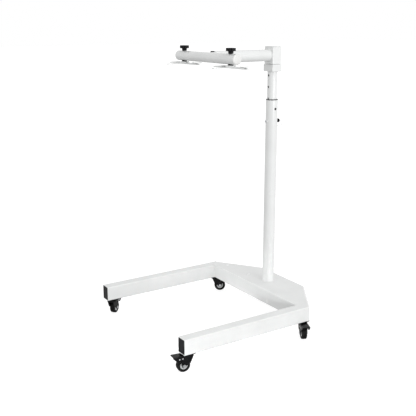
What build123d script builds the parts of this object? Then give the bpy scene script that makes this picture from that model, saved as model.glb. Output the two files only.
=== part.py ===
from build123d import *
import os
from math import asin, degrees

# Mobile floor stand for an overhead panel lamp, built from separate solids.
# Millimetres, +Z up. The origin is on the floor under the column axis, -Y is the front
# (the open end of the legs) and +X is the right-hand leg.

os.makedirs("parts", exist_ok=True)

# ------------------------------------------------------------------ base frame
base_width = 666.0            # over the outer faces of the two legs
leg_front_y = -622.0          # front end of the legs, flush with their caps
corner_y = -51.0              # outer rear corner of each leg
deck_rear_y = 82.0            # rear face of the deck
deck_rear_half = 140.5        # half the length of the deck's rear edge
cross_front_y = -84.7         # front face of the cross tube
tube_width = 45.0             # legs and cross tube: 60 x 45 rectangular tube
tube_height = 60.0
tube_wall = 2.0
tube_corner = 4.0             # outer corner radius of the rectangular tube
sheet = 3.0                   # thickness of the folded deck
deck_edge_radius = 8.0        # rolled outer edge of the deck
deck_corner_radius = 12.0
spine_width = 70.0            # box under the deck that holds the column
cap_face = 3.0                # thickness of the pressed-in end caps of the legs
cap_edge = 0.8                # rounded edge of the cap's face
cap_depth = 22.0
cap_wall = 2.5

# ------------------------------------------------------------------ column
outer_tube_d = 48.0
outer_tube_wall = 2.0
outer_tube_top = 902.0
inner_tube_d = 40.0
inner_tube_wall = 2.0
inner_tube_bottom = 256.0
past = 1.0                    # how far a cutting form runs past the face it cuts
far = 2000.0                  # longer than anything here
running = 0.05                # radial clearance of a sliding or turning fit
gap = 0.4                     # clearance between pieces that pass without touching
bush_rim = 3.0                # black rim on top of the outer tube
bush_depth = 66.0             # sleeve length inside the outer tube
bush_rim_round = 1.0
hole_pitch = 46.0
hole_d = 9.0
lock_z = 816.0                # height of the locking plunger
holes_above = 4               # holes between the plunger and the collar
steps_up = 10                 # holes the mast can be raised by
glide_height = 26.0
glide_lip = 3.0
bush_screw_z = 867.0
bush_screw_d = 6.0
bush_screw_head_d = 9.0
bush_screw_head = 2.2
bush_screw_socket_d = 3.0
steady_z = lock_z             # screw at the front that takes up the play of the mast
steady_boss_d = 14.0
steady_boss = 3.6             # boss beyond the outside of the outer tube
steady_screw_d = 6.0
steady_head_d = 8.5
steady_head = 4.0
steady_socket_d = 4.0
steady_edge = 0.6

# ------------------------------------------------------------------ locking plunger
pin_d = 7.0
pin_stem_d = 5.0
pin_stroke = 4.0
pin_nose_gap = 0.5            # nose of the parked pin to the mast
pin_nose_edge = 0.6
pin_shoulder_d = 8.6
pin_shoulder = 1.2
pin_shoulder_lift = 0.8       # shoulder to the tube's bore when the pin is fully in
boss_d = 12.0
boss_length = 7.6             # beyond the outside of the outer tube
boss_end_wall = 1.2
plunger_knob_d = 15.5
plunger_knob_length = 7.0
plunger_knob_start = 6.5      # knob mouth beyond the outside of the outer tube
plunger_knob_end_wall = 1.8
plunger_knob_round = 1.6
plunger_knob_mouth = 0.6
eye_reach = 3.0               # knob's end face to the ring's hole
eye_width = 5.6
eye_thickness = 2.4
eye_hole_d = 3.0
ring_mean_r = 12.5
ring_wire = 1.6
ring_turn = 15.0              # degrees that the ring hangs turned from the X-Z plane
spring_wire = 0.7
spring_turns = 4.0

# ------------------------------------------------------------------ collar and head
collar_x = 59.0
collar_y = 46.0
collar_height = 28.0
collar_bottom = 1016.0
collar_roof = 9.0             # solid top of the collar over the mast tube
block_edge = 1.5              # broken edges of the collar
spindle_bore_r = 7.0
spindle_d = 25.0
spindle_plug_depth = 24.0     # part of the spindle held in the mast tube
thrust_washer_d = 32.0
thrust_washer = 1.0
head_x = 55.0
head_y = 43.0
head_height = 66.0
head_wall = 3.0
head_corner = 3.0
head_plate = 4.0              # plates that carry the swivel core
core_wall = 3.5
core_lift = 2.0               # core above the lower end of the head
core_bush_wall = 2.0
core_bush_length = 14.0
head_cap_flange = 2.5
head_cap_inset = 1.0
head_cap_plug = 6.0
head_cap_wall = 2.0
head_cap_corner = 2.5
head_cap_edge = 0.8
swivel_limit = 90.0           # degrees each way
stop_pin_d = 4.0
stop_pin_r = 19.0             # radius of the stop pin about the column axis
stop_depth = 3.5
swivel_nut_af = 30.0
swivel_nut = 6.0
swivel_nut_gap = 1.0

# ------------------------------------------------------------------ arm and crossbar
arm_z = 1079.0
arm_d = 46.0
arm_wall = 2.0
arm_front_y = -283.0
sleeve_depth = 50.0           # sleeve length inside the arm
sleeve_step = 3.5             # from the arm tube in to the sleeve's neck
sleeve_wall = 4.5             # neck wall round the spigot
crossbar_y = -315.0
crossbar_d = 38.0
crossbar_wall = 2.0
crossbar_length = 404.0       # over the domed end caps
end_cap_dome = 4.0
end_cap_plug = 14.0
end_cap_wall = 2.0
end_cap_rim = 0.5             # straight rim left under the dome
spigot_wall = 3.0
spigot_tail = 8.0             # spigot beyond the sleeve's rear end
snap_ring = 1.6
snap_ring_groove = 1.2
snap_ring_proud = 2.2         # snap ring beyond the outside of the spigot
lock_screw_y = -289.5
lock_screw_d = 8.0
lock_screw_head_d = 13.0
lock_screw_head = 3.2
lock_screw_round = 1.5
lock_screw_socket_d = 5.0
lock_screw_socket = 1.8

# ------------------------------------------------------------------ carriers and knobs
carrier_x = 160.0             # knob and carrier position each side of the arm
stud_d = 8.0
stud_play = 0.35
knob_d = 36.0
knob_head = 11.0
knob_hub_d = 19.0
knob_hub = 9.0
knob_lobes = 6
knob_lobe_d = 9.0
knob_lobe_out = 2.0           # centre of each hollow beyond the rim
knob_round = 1.2
stud_short = 1.0              # end of the stud above the underside of the carrier
saddle_d = 20.0
saddle_drop = 3.0             # lower saddle below the crossbar
carrier_hub_d = 38.0
carrier_hub = 7.0
carrier_sheet = 3.0
carrier_arm_x = 108.0         # arm reach along X and Y
carrier_arm_y = 80.0
carrier_hole_x = 100.0
carrier_hole_y = 72.0
carrier_hole_d = 6.5
carrier_root = 26.0           # arm width at the hub and at the tip
carrier_tip = 15.0
carrier_flange = 8.0          # upturned stiffening flange on the X arms
carrier_flange_start = 46.0
carrier_flange_end = 4.5      # flange height at its outer end
carrier_flange_wall = 2.0
carrier_flange_in = 0.2       # flange set in from the edge of the arm
carrier_hub_round = 1.5

# ------------------------------------------------------------------ casters
caster_in = 1.0               # casters inboard of the middle of the legs
caster_front_inset = 28.0     # front end of the leg to the front kingpin
caster_rear_y = -66.0
caster_height = 70.0
wheel_d = 50.0
wheel_width = 20.0
wheel_trail = 20.0
hub_d = 29.0
hub_recess = 1.2
hub_rim = 3.0
hub_dish = 1.5
hub_nave = 2.5                # wall of the hub round the axle, and the thinner part beyond it
hub_collar = 1.8
tread_round = 3.0
axle_d = 8.0
bolt_head_d = 11.0
bolt_head = 3.5
plate_size = 42.0
plate_sheet = 2.5
plate_corner = 5.0
plate_hole_pitch = 28.0
plate_screw_d = 5.0
plate_screw_head_d = 9.0
plate_screw_head = 2.0
race_d = 28.0
race_height = 4.5
crown_d = 40.0                # round top of the fork, below the plate's screw heads
crown_skirt = 5.0             # turned-down edge of the crown
kingpin_d = 10.0
kingpin_head_d = 16.0
kingpin_head = 2.0
cheek = 2.0
cheek_gap = 1.5               # wheel side to fork cheek
cheek_end_r = 8.0
cheek_lead = -15.0            # leading edge of the cheek, from the kingpin
cheek_knee_x = -4.0           # where the leading edge turns in towards the axle
cheek_knee_rise = 8.0
cheek_tail = 5.0
cheek_tail_drop = 3.0
pedal_sheet = 1.6
pedal_pivot_x = 26.0          # from the kingpin, along the trail
pedal_pivot_z = 54.5
pedal_pin_d = 4.4
pedal_tip_x = 62.0
pedal_pin_proud = 1.0
pedal_deck_x = 32.0           # start of the foot plate, from the kingpin
pedal_back = 5.0              # side plates behind the pivot
pedal_lip = 4.0               # depth of the side plates at the tip
pedal_lip_x = 46.0
pedal_side_drop = 10.0        # side plates below the pivot
pedal_root_x = 30.0
pedal_root_drop = 8.0
pedal_heel_drop = 4.0
pedal_heel_low = 2.0
shoe_width = 16.0             # brake shoe that presses on the tread
shoe_x = 34.0
shoe_length = 8.0
shoe_drop = 6.0
# direction of each wheel's trail, in degrees from +X towards +Y
caster_angles = {"front_right": -100.0, "front_left": 126.0, "rear_right": -25.0, "rear_left": 60.0}

# ------------------------------------------------------------------ derived places
leg_x = base_width / 2 - tube_width / 2
leg_inner_x = base_width / 2 - tube_width
caster_x = leg_x - caster_in
base_bottom = caster_height
deck_top = base_bottom + tube_height
cross_rear_y = cross_front_y + tube_width
outer_r = outer_tube_d / 2
outer_bore_r = outer_r - outer_tube_wall
inner_r = inner_tube_d / 2
inner_bore_r = inner_r - inner_tube_wall
collar_top = collar_bottom + collar_height
mast_top = collar_top - collar_roof
head_bottom = collar_top + thrust_washer
head_top = head_bottom + head_height
core_bore_r = spindle_d / 2 + core_bush_wall
core_r = core_bore_r + core_wall
core_bottom = head_bottom + core_lift
core_top = head_top - head_cap_plug - swivel_nut - head_plate
sleeve_neck_d = arm_d - 2 * sleeve_step
spigot_d = sleeve_neck_d - 2 * sleeve_wall
sleeve_front_y = crossbar_y + crossbar_d / 2 + gap
sleeve_rear_y = arm_front_y + sleeve_depth
spigot_rear_y = sleeve_rear_y + spigot_tail
crossbar_bottom = arm_z - crossbar_d / 2
crossbar_top = arm_z + crossbar_d / 2
saddle_bottom = crossbar_bottom - saddle_drop
carrier_hub_bottom = saddle_bottom - carrier_hub
carrier_bottom = carrier_hub_bottom - carrier_sheet
axle_z = wheel_d / 2
fork_top = caster_height - plate_sheet - gap
fork_web_bottom = fork_top - race_height
cheek_inner = wheel_width / 2 + cheek_gap
cheek_outer = cheek_inner + cheek
skirt_inner = cheek_outer + gap
skirt_outer = skirt_inner + pedal_sheet
pedal_top = fork_web_bottom + pedal_sheet
caster_front_y = leg_front_y + caster_front_inset
knob_start = outer_r + plunger_knob_start
knob_end = knob_start + plunger_knob_length
eye_y = knob_end + eye_reach
boss_end = outer_r + boss_length
boss_end_inner = boss_end - boss_end_wall
pin_shoulder_y = outer_bore_r + pin_stroke - pin_shoulder_lift
caster_places = {
    "front_right": (caster_x, caster_front_y),
    "front_left": (-caster_x, caster_front_y),
    "rear_right": (caster_x, caster_rear_y),
    "rear_left": (-caster_x, caster_rear_y),
}

nodes = {}


def save(name, shape):
    nodes[name] = shape
    export_step(shape, f"parts/{name}.step")


def block(x0, x1, y0, y1, z0, z1):
    return Pos((x0 + x1) / 2, (y0 + y1) / 2, (z0 + z1) / 2) * Box(x1 - x0, y1 - y0, z1 - z0)


def upright(r, z0, z1, x=0.0, y=0.0):
    return Pos(x, y, (z0 + z1) / 2) * Cylinder(r, z1 - z0)


def along_y(r, y0, y1, x=0.0, z=0.0):
    return Pos(x, (y0 + y1) / 2, z) * Rot(90, 0, 0) * Cylinder(r, abs(y1 - y0))


def along_x(r, x0, x1, y=0.0, z=0.0):
    return Pos((x0 + x1) / 2, y, z) * Rot(0, 90, 0) * Cylinder(r, abs(x1 - x0))


def screw_spots():
    """The centres of the screws that hold the casters to the legs."""
    reach = plate_hole_pitch / 2
    return [
        (x + sx * reach, y + sy * reach)
        for x, y in caster_places.values() for sx in (1, -1) for sy in (1, -1)
    ]


def group(solids):
    return Compound(children=list(solids))


def rect_bar(width, height, radius, length):
    """A solid bar of rounded rectangular section along +Y from the origin, resting on z = 0."""
    section = Plane.XZ * Pos(0, height / 2) * RectangleRounded(width, height, radius)
    return extrude(section, -length)


def rect_tube(width, height, wall, radius, length):
    inner = Pos(0, 0, wall) * rect_bar(width - 2 * wall, height - 2 * wall, radius - wall, length)
    return rect_bar(width, height, radius, length) - inner


# ------------------------------------------------------------------ base
def deck_outline(inset):
    """The trapezoid of the deck, drawn in from its slanted and rear edges."""
    half = base_width / 2
    run = half - deck_rear_half
    rise = deck_rear_y - corner_y
    slant = (run**2 + rise**2) ** 0.5
    shift = inset * slant / rise
    front = half - shift
    rear = deck_rear_half - shift + inset * run / rise
    return [(front, corner_y), (rear, deck_rear_y - inset), (-rear, deck_rear_y - inset), (-front, corner_y)]


def deck_block(inset, top, edge_radius, corner_radius):
    face = make_face(Polyline(*deck_outline(inset), close=True))
    body = extrude(face, top - base_bottom)
    rear_corners = body.edges().filter_by(Axis.Z).group_by(Axis.Y)[-1]
    body = fillet(rear_corners, corner_radius)
    rim = [edge for edge in body.edges().group_by(Axis.Z)[-1] if edge.center().Y > corner_y + 1]
    return Pos(0, 0, base_bottom) * fillet(rim, edge_radius)


def cross_bar(wall, reach):
    """The cross tube's outer form, or its bore when a wall is given."""
    bar = rect_bar(tube_width - 2 * wall, tube_height - 2 * wall, tube_corner - wall, 2 * reach)
    place = Pos(reach, (cross_front_y + cross_rear_y) / 2, base_bottom + wall)
    return place * Rot(0, 0, 90) * bar


def build_base():
    deck_shell = deck_block(0, deck_top, deck_edge_radius, deck_corner_radius)
    deck_shell -= deck_block(sheet, deck_top - sheet, deck_edge_radius - sheet, deck_corner_radius - sheet)
    leg_length = cross_rear_y - leg_front_y
    keep = deck_block(sheet, deck_top, deck_edge_radius, deck_corner_radius - sheet)
    rear_zone = block(-base_width, base_width, corner_y, deck_rear_y, base_bottom - 1, deck_top + 1) - keep
    leg_forms = {}
    for side, name in ((1, "right"), (-1, "left")):
        place = Pos(side * leg_x, leg_front_y, base_bottom)
        long_enough = leg_length + tube_width
        leg_forms[name] = place * rect_bar(tube_width, tube_height, tube_corner, long_enough) - rear_zone
        bore = rect_bar(tube_width - 2 * tube_wall, tube_height - 2 * tube_wall, tube_corner - tube_wall, long_enough)
        leg = leg_forms[name] - place * Pos(0, 0, tube_wall) * bore
        for x, y in screw_spots():
            leg -= upright(plate_screw_d / 2, 0, base_bottom + 2 * tube_wall, x, y)
        save(f"leg_{name}", leg)
    reach = leg_inner_x + tube_corner
    cross = cross_bar(0, reach) - cross_bar(tube_wall, reach)
    deck = deck_shell - cross_bar(0, reach)
    for form in leg_forms.values():
        cross -= form
        deck -= form
    deck -= upright(outer_r, deck_top - 2 * sheet, deck_top + 1)
    for x, y in screw_spots():
        deck -= upright(plate_screw_d / 2, 0, base_bottom + 2 * tube_wall, x, y)
    save("front_cross_tube", cross)
    save("deck_pan", deck)

    spine = block(-spine_width / 2, spine_width / 2, cross_rear_y, deck_rear_y - sheet, base_bottom, deck_top - sheet)
    spine -= block(
        -spine_width / 2 + sheet, spine_width / 2 - sheet, cross_rear_y, deck_rear_y - sheet,
        base_bottom + sheet, deck_top - 2 * sheet,
    )
    spine -= upright(outer_r, base_bottom + sheet / 2, deck_top)
    save("column_spine", spine - deck)

    cap_width = tube_width - 2 * tube_wall
    cap_height = tube_height - 2 * tube_wall
    for side, name in ((1, "right"), (-1, "left")):
        face = rect_bar(cap_width, cap_height, tube_corner - tube_wall, cap_face)
        face = fillet(face.edges().group_by(Axis.Y)[0], cap_edge)
        plug = rect_tube(cap_width, cap_height, cap_wall, cap_wall + cap_edge, cap_depth - cap_face)
        cap = face + Pos(0, cap_face, 0) * plug
        save(f"leg_cap_{name}", Pos(side * leg_x, leg_front_y, base_bottom + tube_wall) * cap)


# ------------------------------------------------------------------ column
def build_column():
    tube = upright(outer_r, base_bottom + sheet / 2, outer_tube_top)
    tube -= upright(outer_bore_r, base_bottom, outer_tube_top + 1)
    tube -= along_y(pin_shoulder_d / 2 + gap, 0, outer_r + 1, z=lock_z)
    tube -= along_y(steady_screw_d / 2, -outer_r - 1, 0, z=steady_z)
    tube -= along_x(bush_screw_d / 2, 0, outer_r + 1, z=bush_screw_z)
    save("column_outer_tube", tube)

    bush = upright(outer_bore_r, outer_tube_top - bush_depth, outer_tube_top)
    rim = upright(outer_r, outer_tube_top, outer_tube_top + bush_rim)
    rim = fillet(rim.edges().filter_by(GeomType.CIRCLE).group_by(Axis.Z)[-1], bush_rim_round)
    bush = bush + rim - upright(inner_r + running, 0, outer_tube_top + bush_rim + 1)
    bush -= along_x(bush_screw_d / 2, 0, outer_r, z=bush_screw_z)
    save("guide_bush", bush)

    tube_form = upright(outer_r, 0, outer_tube_top)
    screw_tip = inner_r + running + gap
    bush_screw = along_x(bush_screw_head_d / 2, 0, outer_r + bush_screw_head, z=bush_screw_z) - tube_form
    bush_screw += along_x(bush_screw_d / 2, screw_tip, outer_r + bush_screw_head / 2, z=bush_screw_z)
    bush_screw -= along_x(bush_screw_socket_d / 2, outer_r + bush_screw_head / 2, outer_r + 2 * bush_screw_head, z=bush_screw_z)
    boss_face = -outer_r - steady_boss
    head_face = boss_face - steady_head
    steady = along_y(steady_head_d / 2, boss_face, head_face, z=steady_z)
    steady = chamfer(steady.edges().group_by(Axis.Y)[0], steady_edge)
    steady += along_y(steady_screw_d / 2, -screw_tip, boss_face, z=steady_z)
    steady -= along_y(steady_socket_d / 2, head_face - 1, head_face + steady_head / 2, z=steady_z)
    save("column_screws", group([bush_screw, steady]))

    boss = along_y(boss_d / 2, 0, boss_end, z=lock_z) - tube_form
    boss -= along_y(pin_shoulder_d / 2 + gap, 0, boss_end_inner, z=lock_z)
    boss -= along_y(pin_stem_d / 2 + running, 0, boss_end + 1, z=lock_z)
    steady_seat = along_y(steady_boss_d / 2, 0, boss_face, z=steady_z) - tube_form
    steady_seat -= along_y(steady_screw_d / 2, 0, boss_face - 1, z=steady_z)
    save("column_bosses", group([boss, steady_seat]))


def build_plunger():
    nose = inner_r + pin_nose_gap
    pin = along_y(pin_d / 2, nose, pin_shoulder_y, z=lock_z)
    pin = chamfer(pin.edges().group_by(Axis.Y)[0], pin_nose_edge)
    pin += along_y(pin_shoulder_d / 2, pin_shoulder_y, pin_shoulder_y + pin_shoulder, z=lock_z)
    pin += along_y(pin_stem_d / 2, pin_shoulder_y, knob_end, z=lock_z)
    half_eye = eye_width / 2
    eye = block(-eye_thickness / 2, eye_thickness / 2, knob_end, eye_y, lock_z - half_eye, lock_z + half_eye)
    eye += along_x(half_eye, -eye_thickness / 2, eye_thickness / 2, eye_y, lock_z)
    eye -= along_x(eye_hole_d / 2, -eye_thickness, eye_thickness, eye_y, lock_z)
    save("plunger_pin", pin + eye)

    knob = along_y(plunger_knob_d / 2, knob_start, knob_end, z=lock_z)
    knob = fillet(knob.edges().group_by(Axis.Y)[-1], plunger_knob_round)
    knob = fillet(knob.edges().group_by(Axis.Y)[0], plunger_knob_mouth)
    knob -= along_y(boss_d / 2 + gap, knob_start - 1, knob_end - plunger_knob_end_wall, z=lock_z)
    knob -= along_y(pin_stem_d / 2, knob_start, knob_end + 1, z=lock_z)
    save("plunger_knob", knob)

    ring = Rot(0, 0, ring_turn) * Rot(90, 0, 0) * Torus(ring_mean_r, ring_wire / 2)
    save("pull_ring", Pos(0, eye_y, lock_z - ring_mean_r) * ring)

    spring_start = pin_shoulder_y + pin_shoulder
    room = boss_end_inner - spring_start
    spring_r = (pin_stem_d / 2 + pin_shoulder_d / 2) / 2
    height = room - spring_wire
    path = Helix(height / spring_turns, height, spring_r)
    wire = Plane(origin=path @ 0, z_dir=path % 0) * Circle(spring_wire / 2)
    spring = sweep(wire, path)
    save("plunger_spring", Pos(0, spring_start + spring_wire / 2, lock_z) * Rot(-90, 0, 0) * spring)


# ------------------------------------------------------------------ mast
def build_mast():
    tube = upright(inner_r, inner_tube_bottom, mast_top)
    tube -= upright(inner_bore_r, 0, mast_top + 1)
    # raising the mast by one hole brings the hole below the plunger up to it, and lowering the one above
    for step in range(-steps_up, holes_above + 1):
        tube -= along_y(hole_d / 2, -inner_tube_d, inner_tube_d, z=lock_z + step * hole_pitch)
    save("mast_tube", tube)

    glide = upright(outer_bore_r - running, inner_tube_bottom - glide_lip, inner_tube_bottom + glide_height)
    glide -= upright(inner_r, inner_tube_bottom, inner_tube_bottom + glide_height + 1)
    glide -= upright(inner_bore_r, 0, inner_tube_bottom + 1)
    save("mast_glide", glide)

    collar = block(-collar_x / 2, collar_x / 2, -collar_y / 2, collar_y / 2, collar_bottom, collar_top)
    collar = fillet(collar.edges(), block_edge)
    collar -= upright(inner_r, 0, mast_top)
    collar -= upright(spindle_d / 2, 0, collar_top + 1)
    half_sweep = swivel_limit + degrees(asin((stop_pin_d / 2 + gap) / stop_pin_r))
    slot = Pos(stop_pin_r, 0) * Rectangle(stop_pin_d + 2 * gap, 2 * stop_depth + 2 * gap)
    groove = revolve(Plane.XZ * slot, Axis.Z, 2 * half_sweep)
    collar -= Pos(0, 0, collar_top) * Rot(0, 0, -half_sweep) * groove
    save("collar_block", collar)

    nut_bottom = core_top + swivel_nut_gap
    spindle = upright(inner_bore_r, mast_top - spindle_plug_depth, mast_top)
    spindle += upright(spindle_d / 2, mast_top, nut_bottom + swivel_nut)
    spindle -= upright(spindle_bore_r, 0, nut_bottom + swivel_nut + 1)
    save("swivel_spindle", spindle)
    washer = upright(thrust_washer_d / 2, collar_top, head_bottom) - upright(spindle_d / 2, 0, far)
    save("thrust_washer", washer)
    nut = extrude(RegularPolygon(swivel_nut_af / 2, 6, major_radius=False), swivel_nut)
    nut = Pos(0, 0, nut_bottom) * nut - upright(spindle_d / 2, 0, far)
    save("swivel_nut", nut)


# ------------------------------------------------------------------ head and arm
def build_head():
    head = block(-head_x / 2, head_x / 2, -head_y / 2, head_y / 2, head_bottom, head_top)
    head = fillet(head.edges().filter_by(Axis.Z), head_corner)
    head -= block(
        -head_x / 2 + head_wall, head_x / 2 - head_wall, -head_y / 2 + head_wall, head_y / 2 - head_wall,
        head_bottom - 1, head_top + 1,
    )
    save("head_tube", head)

    inner_x = head_x - 2 * head_wall
    inner_y = head_y - 2 * head_wall
    core = upright(core_r, core_bottom, core_top)
    for z0 in (core_bottom, core_top - head_plate):
        core += block(-inner_x / 2, inner_x / 2, -inner_y / 2, inner_y / 2, z0, z0 + head_plate)
    core -= upright(core_bore_r, 0, far)
    core += upright(stop_pin_d / 2, collar_top - stop_depth, core_bottom + head_plate, stop_pin_r)
    save("head_core", core)

    bushes = []
    for z0, z1 in ((core_bottom, core_bottom + core_bush_length), (core_top - core_bush_length, core_top)):
        sleeve = upright(core_bore_r, z0, z1)
        bushes.append(sleeve - upright(spindle_d / 2 + running, 0, far))
    save("head_bushes", group(bushes))

    cap_x = head_x - 2 * head_cap_inset
    cap_y = head_y - 2 * head_cap_inset
    flange = block(-cap_x / 2, cap_x / 2, -cap_y / 2, cap_y / 2, head_top, head_top + head_cap_flange)
    flange = fillet(flange.edges().filter_by(Axis.Z), head_cap_corner)
    flange = fillet(flange.edges().group_by(Axis.Z)[-1], head_cap_edge)
    plug = block(-inner_x / 2, inner_x / 2, -inner_y / 2, inner_y / 2, head_top - head_cap_plug, head_top)
    plug -= block(
        -inner_x / 2 + head_cap_wall, inner_x / 2 - head_cap_wall, -inner_y / 2 + head_cap_wall, inner_y / 2 - head_cap_wall,
        head_top - head_cap_plug - 1, head_top,
    )
    save("head_top_cap", flange + plug)

    arm = along_y(arm_d / 2, -head_y / 2, arm_front_y, z=arm_z)
    arm -= along_y(arm_d / 2 - arm_wall, 0, arm_front_y - 1, z=arm_z)
    save("arm_tube", arm)

    sleeve = along_y(arm_d / 2 - arm_wall, sleeve_rear_y, arm_front_y, z=arm_z)
    sleeve += along_y(sleeve_neck_d / 2, arm_front_y, sleeve_front_y, z=arm_z)
    sleeve -= along_y(spigot_d / 2 + running, sleeve_rear_y + 1, sleeve_front_y - 1, z=arm_z)
    sleeve -= upright(lock_screw_d / 2, arm_z, arm_z + arm_d, 0, lock_screw_y)
    save("arm_end_sleeve", sleeve)

    seat = arm_z + sleeve_neck_d / 2
    screw = upright(lock_screw_d / 2, arm_z + spigot_d / 2 + gap, seat, 0, lock_screw_y)
    screw_head = upright(lock_screw_head_d / 2, seat - past, seat + lock_screw_head, 0, lock_screw_y)
    screw_head = fillet(screw_head.edges().group_by(Axis.Z)[-1], lock_screw_round)
    screw_head -= along_y(sleeve_neck_d / 2, 0, 2 * arm_front_y, z=arm_z)
    screw_head -= upright(lock_screw_socket_d / 2, seat + lock_screw_head - lock_screw_socket, far, 0, lock_screw_y)
    save("arm_lock_screw", screw + screw_head)


def build_crossbar():
    tube_half = crossbar_length / 2 - end_cap_dome
    bar = along_x(crossbar_d / 2, -tube_half, tube_half, crossbar_y, arm_z)
    bar -= along_x(crossbar_d / 2 - crossbar_wall, -tube_half - 1, tube_half + 1, crossbar_y, arm_z)
    for side in (1, -1):
        bar -= upright(stud_d / 2 + stud_play, crossbar_bottom - 1, crossbar_top + 1, side * carrier_x, crossbar_y)
    save("crossbar_tube", bar)

    spigot = along_y(spigot_d / 2, crossbar_y, spigot_rear_y, z=arm_z)
    spigot -= along_y(spigot_d / 2 - spigot_wall, crossbar_y, spigot_rear_y + 1, z=arm_z)
    spigot -= along_x(crossbar_d / 2, -crossbar_d, crossbar_d, crossbar_y, arm_z)
    groove_y = sleeve_rear_y + gap
    groove = along_y(spigot_d / 2 + 1, groove_y, groove_y + snap_ring, z=arm_z)
    spigot -= groove - along_y(spigot_d / 2 - snap_ring_groove, groove_y, groove_y + snap_ring, z=arm_z)
    save("crossbar_spigot", spigot)
    ring = along_y(spigot_d / 2 + snap_ring_proud, groove_y, groove_y + snap_ring, z=arm_z)
    ring -= along_y(spigot_d / 2 - snap_ring_groove, groove_y - 1, groove_y + snap_ring + 1, z=arm_z)
    save("spigot_snap_ring", ring)

    caps = []
    for side in (1, -1):
        face = side * tube_half
        dome = along_x(crossbar_d / 2, face, face + side * end_cap_dome, crossbar_y, arm_z)
        rim = dome.edges().filter_by(GeomType.CIRCLE).sort_by(Axis.X)[-1 if side > 0 else 0]
        dome = fillet(rim, end_cap_dome - end_cap_rim)
        bore_r = crossbar_d / 2 - crossbar_wall
        plug = along_x(bore_r, face, face - side * end_cap_plug, crossbar_y, arm_z)
        plug -= along_x(bore_r - end_cap_wall, face, face - side * (end_cap_plug + 1), crossbar_y, arm_z)
        caps.append(dome + plug)
    save("crossbar_end_caps", group(caps))

    saddles = []
    tube_form = along_x(crossbar_d / 2, -tube_half, tube_half, crossbar_y, arm_z)
    for side in (1, -1):
        pad = upright(saddle_d / 2, saddle_bottom, arm_z, side * carrier_x, crossbar_y) - tube_form
        saddles.append(pad - upright(stud_d / 2 + stud_play, 0, far, side * carrier_x, crossbar_y))
    save("carrier_saddles", group(saddles))


# ------------------------------------------------------------------ carriers and knobs
def carrier_arm(reach, hole_at, flanged):
    outline = Polyline(
        (0, -carrier_root / 2), (reach - carrier_tip / 2, -carrier_tip / 2),
        (reach - carrier_tip / 2, carrier_tip / 2), (0, carrier_root / 2), close=True,
    )
    arm = extrude(make_face(outline), carrier_sheet)
    arm += Pos(reach - carrier_tip / 2, 0, carrier_sheet / 2) * Cylinder(carrier_tip / 2, carrier_sheet)
    if flanged:
        taper = (carrier_root - carrier_tip) / 2 / (reach - carrier_tip / 2)
        flange_end = hole_at - carrier_hole_d
        wall = Plane.XZ * make_face(Polyline(
            (carrier_flange_start, carrier_sheet), (carrier_flange_start, carrier_flange),
            (flange_end, carrier_flange_end), (flange_end, carrier_sheet), close=True,
        ))
        for side in (1, -1):
            middle = (carrier_flange_start + flange_end) / 2
            edge = side * (carrier_root / 2 - taper * middle - carrier_flange_in - carrier_flange_wall / 2)
            strip = Pos(0, carrier_flange_wall / 2, 0) * extrude(wall, carrier_flange_wall)
            turned = Pos(middle, edge, 0) * Rot(0, 0, -side * degrees(taper)) * Pos(-middle, 0, 0) * strip
            arm += turned
    return arm - Pos(hole_at, 0, 0) * Cylinder(carrier_hole_d / 2, 4 * carrier_sheet)


def build_carrier(side, name):
    plate = Pos(0, 0, carrier_sheet / 2) * Cylinder(carrier_hub_d / 2, carrier_sheet)
    for turn in (0, 180):
        plate += Rot(0, 0, turn) * carrier_arm(carrier_arm_x, carrier_hole_x, True)
        plate += Rot(0, 0, turn + 90) * carrier_arm(carrier_arm_y, carrier_hole_y, False)
    hub = Pos(0, 0, carrier_sheet + carrier_hub / 2) * Cylinder(carrier_hub_d / 2, carrier_hub)
    hub = fillet(hub.edges().filter_by(GeomType.CIRCLE).group_by(Axis.Z)[-1], carrier_hub_round)
    plate += hub
    plate -= Cylinder(stud_d / 2 + running, 8 * carrier_hub)
    save(f"carrier_{name}", Pos(side * carrier_x, crossbar_y, carrier_bottom) * plate)

    rim_r = knob_d / 2
    head = Cylinder(rim_r, knob_head)
    for index in range(knob_lobes):
        spot = Rot(0, 0, (index + 0.5) * 360 / knob_lobes) * Pos(rim_r + knob_lobe_out, 0, 0)
        head -= spot * Cylinder(knob_lobe_d / 2, 2 * knob_head)
    head = fillet(head.edges().group_by(Axis.Z)[-1], knob_round)
    head = Pos(0, 0, knob_hub + knob_head / 2) * head
    hub = Pos(0, 0, knob_hub / 2) * Cylinder(knob_hub_d / 2, knob_hub)
    knob = Pos(0, 0, crossbar_top + gap) * (head + hub)
    knob += upright(stud_d / 2, carrier_bottom + stud_short, crossbar_top + knob_hub)
    save(f"clamp_knob_{name}", Pos(side * carrier_x, crossbar_y, 0) * knob)


# ------------------------------------------------------------------ casters
def side_profile(points, y0, y1):
    """A plate drawn in the caster's own X-Z plane and spanning y0 to y1."""
    face = Plane.XZ * make_face(Polyline(*points, close=True))
    return Pos(0, y1, 0) * extrude(face, y1 - y0)


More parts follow.
